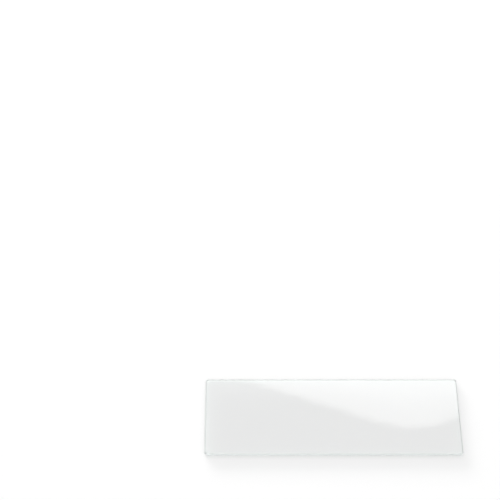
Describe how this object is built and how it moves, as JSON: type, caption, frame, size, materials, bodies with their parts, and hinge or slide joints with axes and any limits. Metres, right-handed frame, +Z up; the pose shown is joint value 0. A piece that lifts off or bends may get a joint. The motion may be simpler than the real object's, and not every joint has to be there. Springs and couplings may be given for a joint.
{
  "type": "microscope slide",
  "caption": "Flat rectangular plate of clear glass with ground edges and clipped corners, which carries a specimen under a microscope.",
  "frame": {"origin": "centre of the lower face, the face that the slide rests on", "axes": "+X along the slide, +Y across it, +Z up through its thickness"},
  "size_m": [0.076, 0.026, 0.0011],
  "materials": {
    "clear_glass": "polished faces, fine-ground edges, faint green tint along the edges"
  },
  "bodies": {
    "root": {"slide": "clear_glass"}
  },
  "joints": []
}
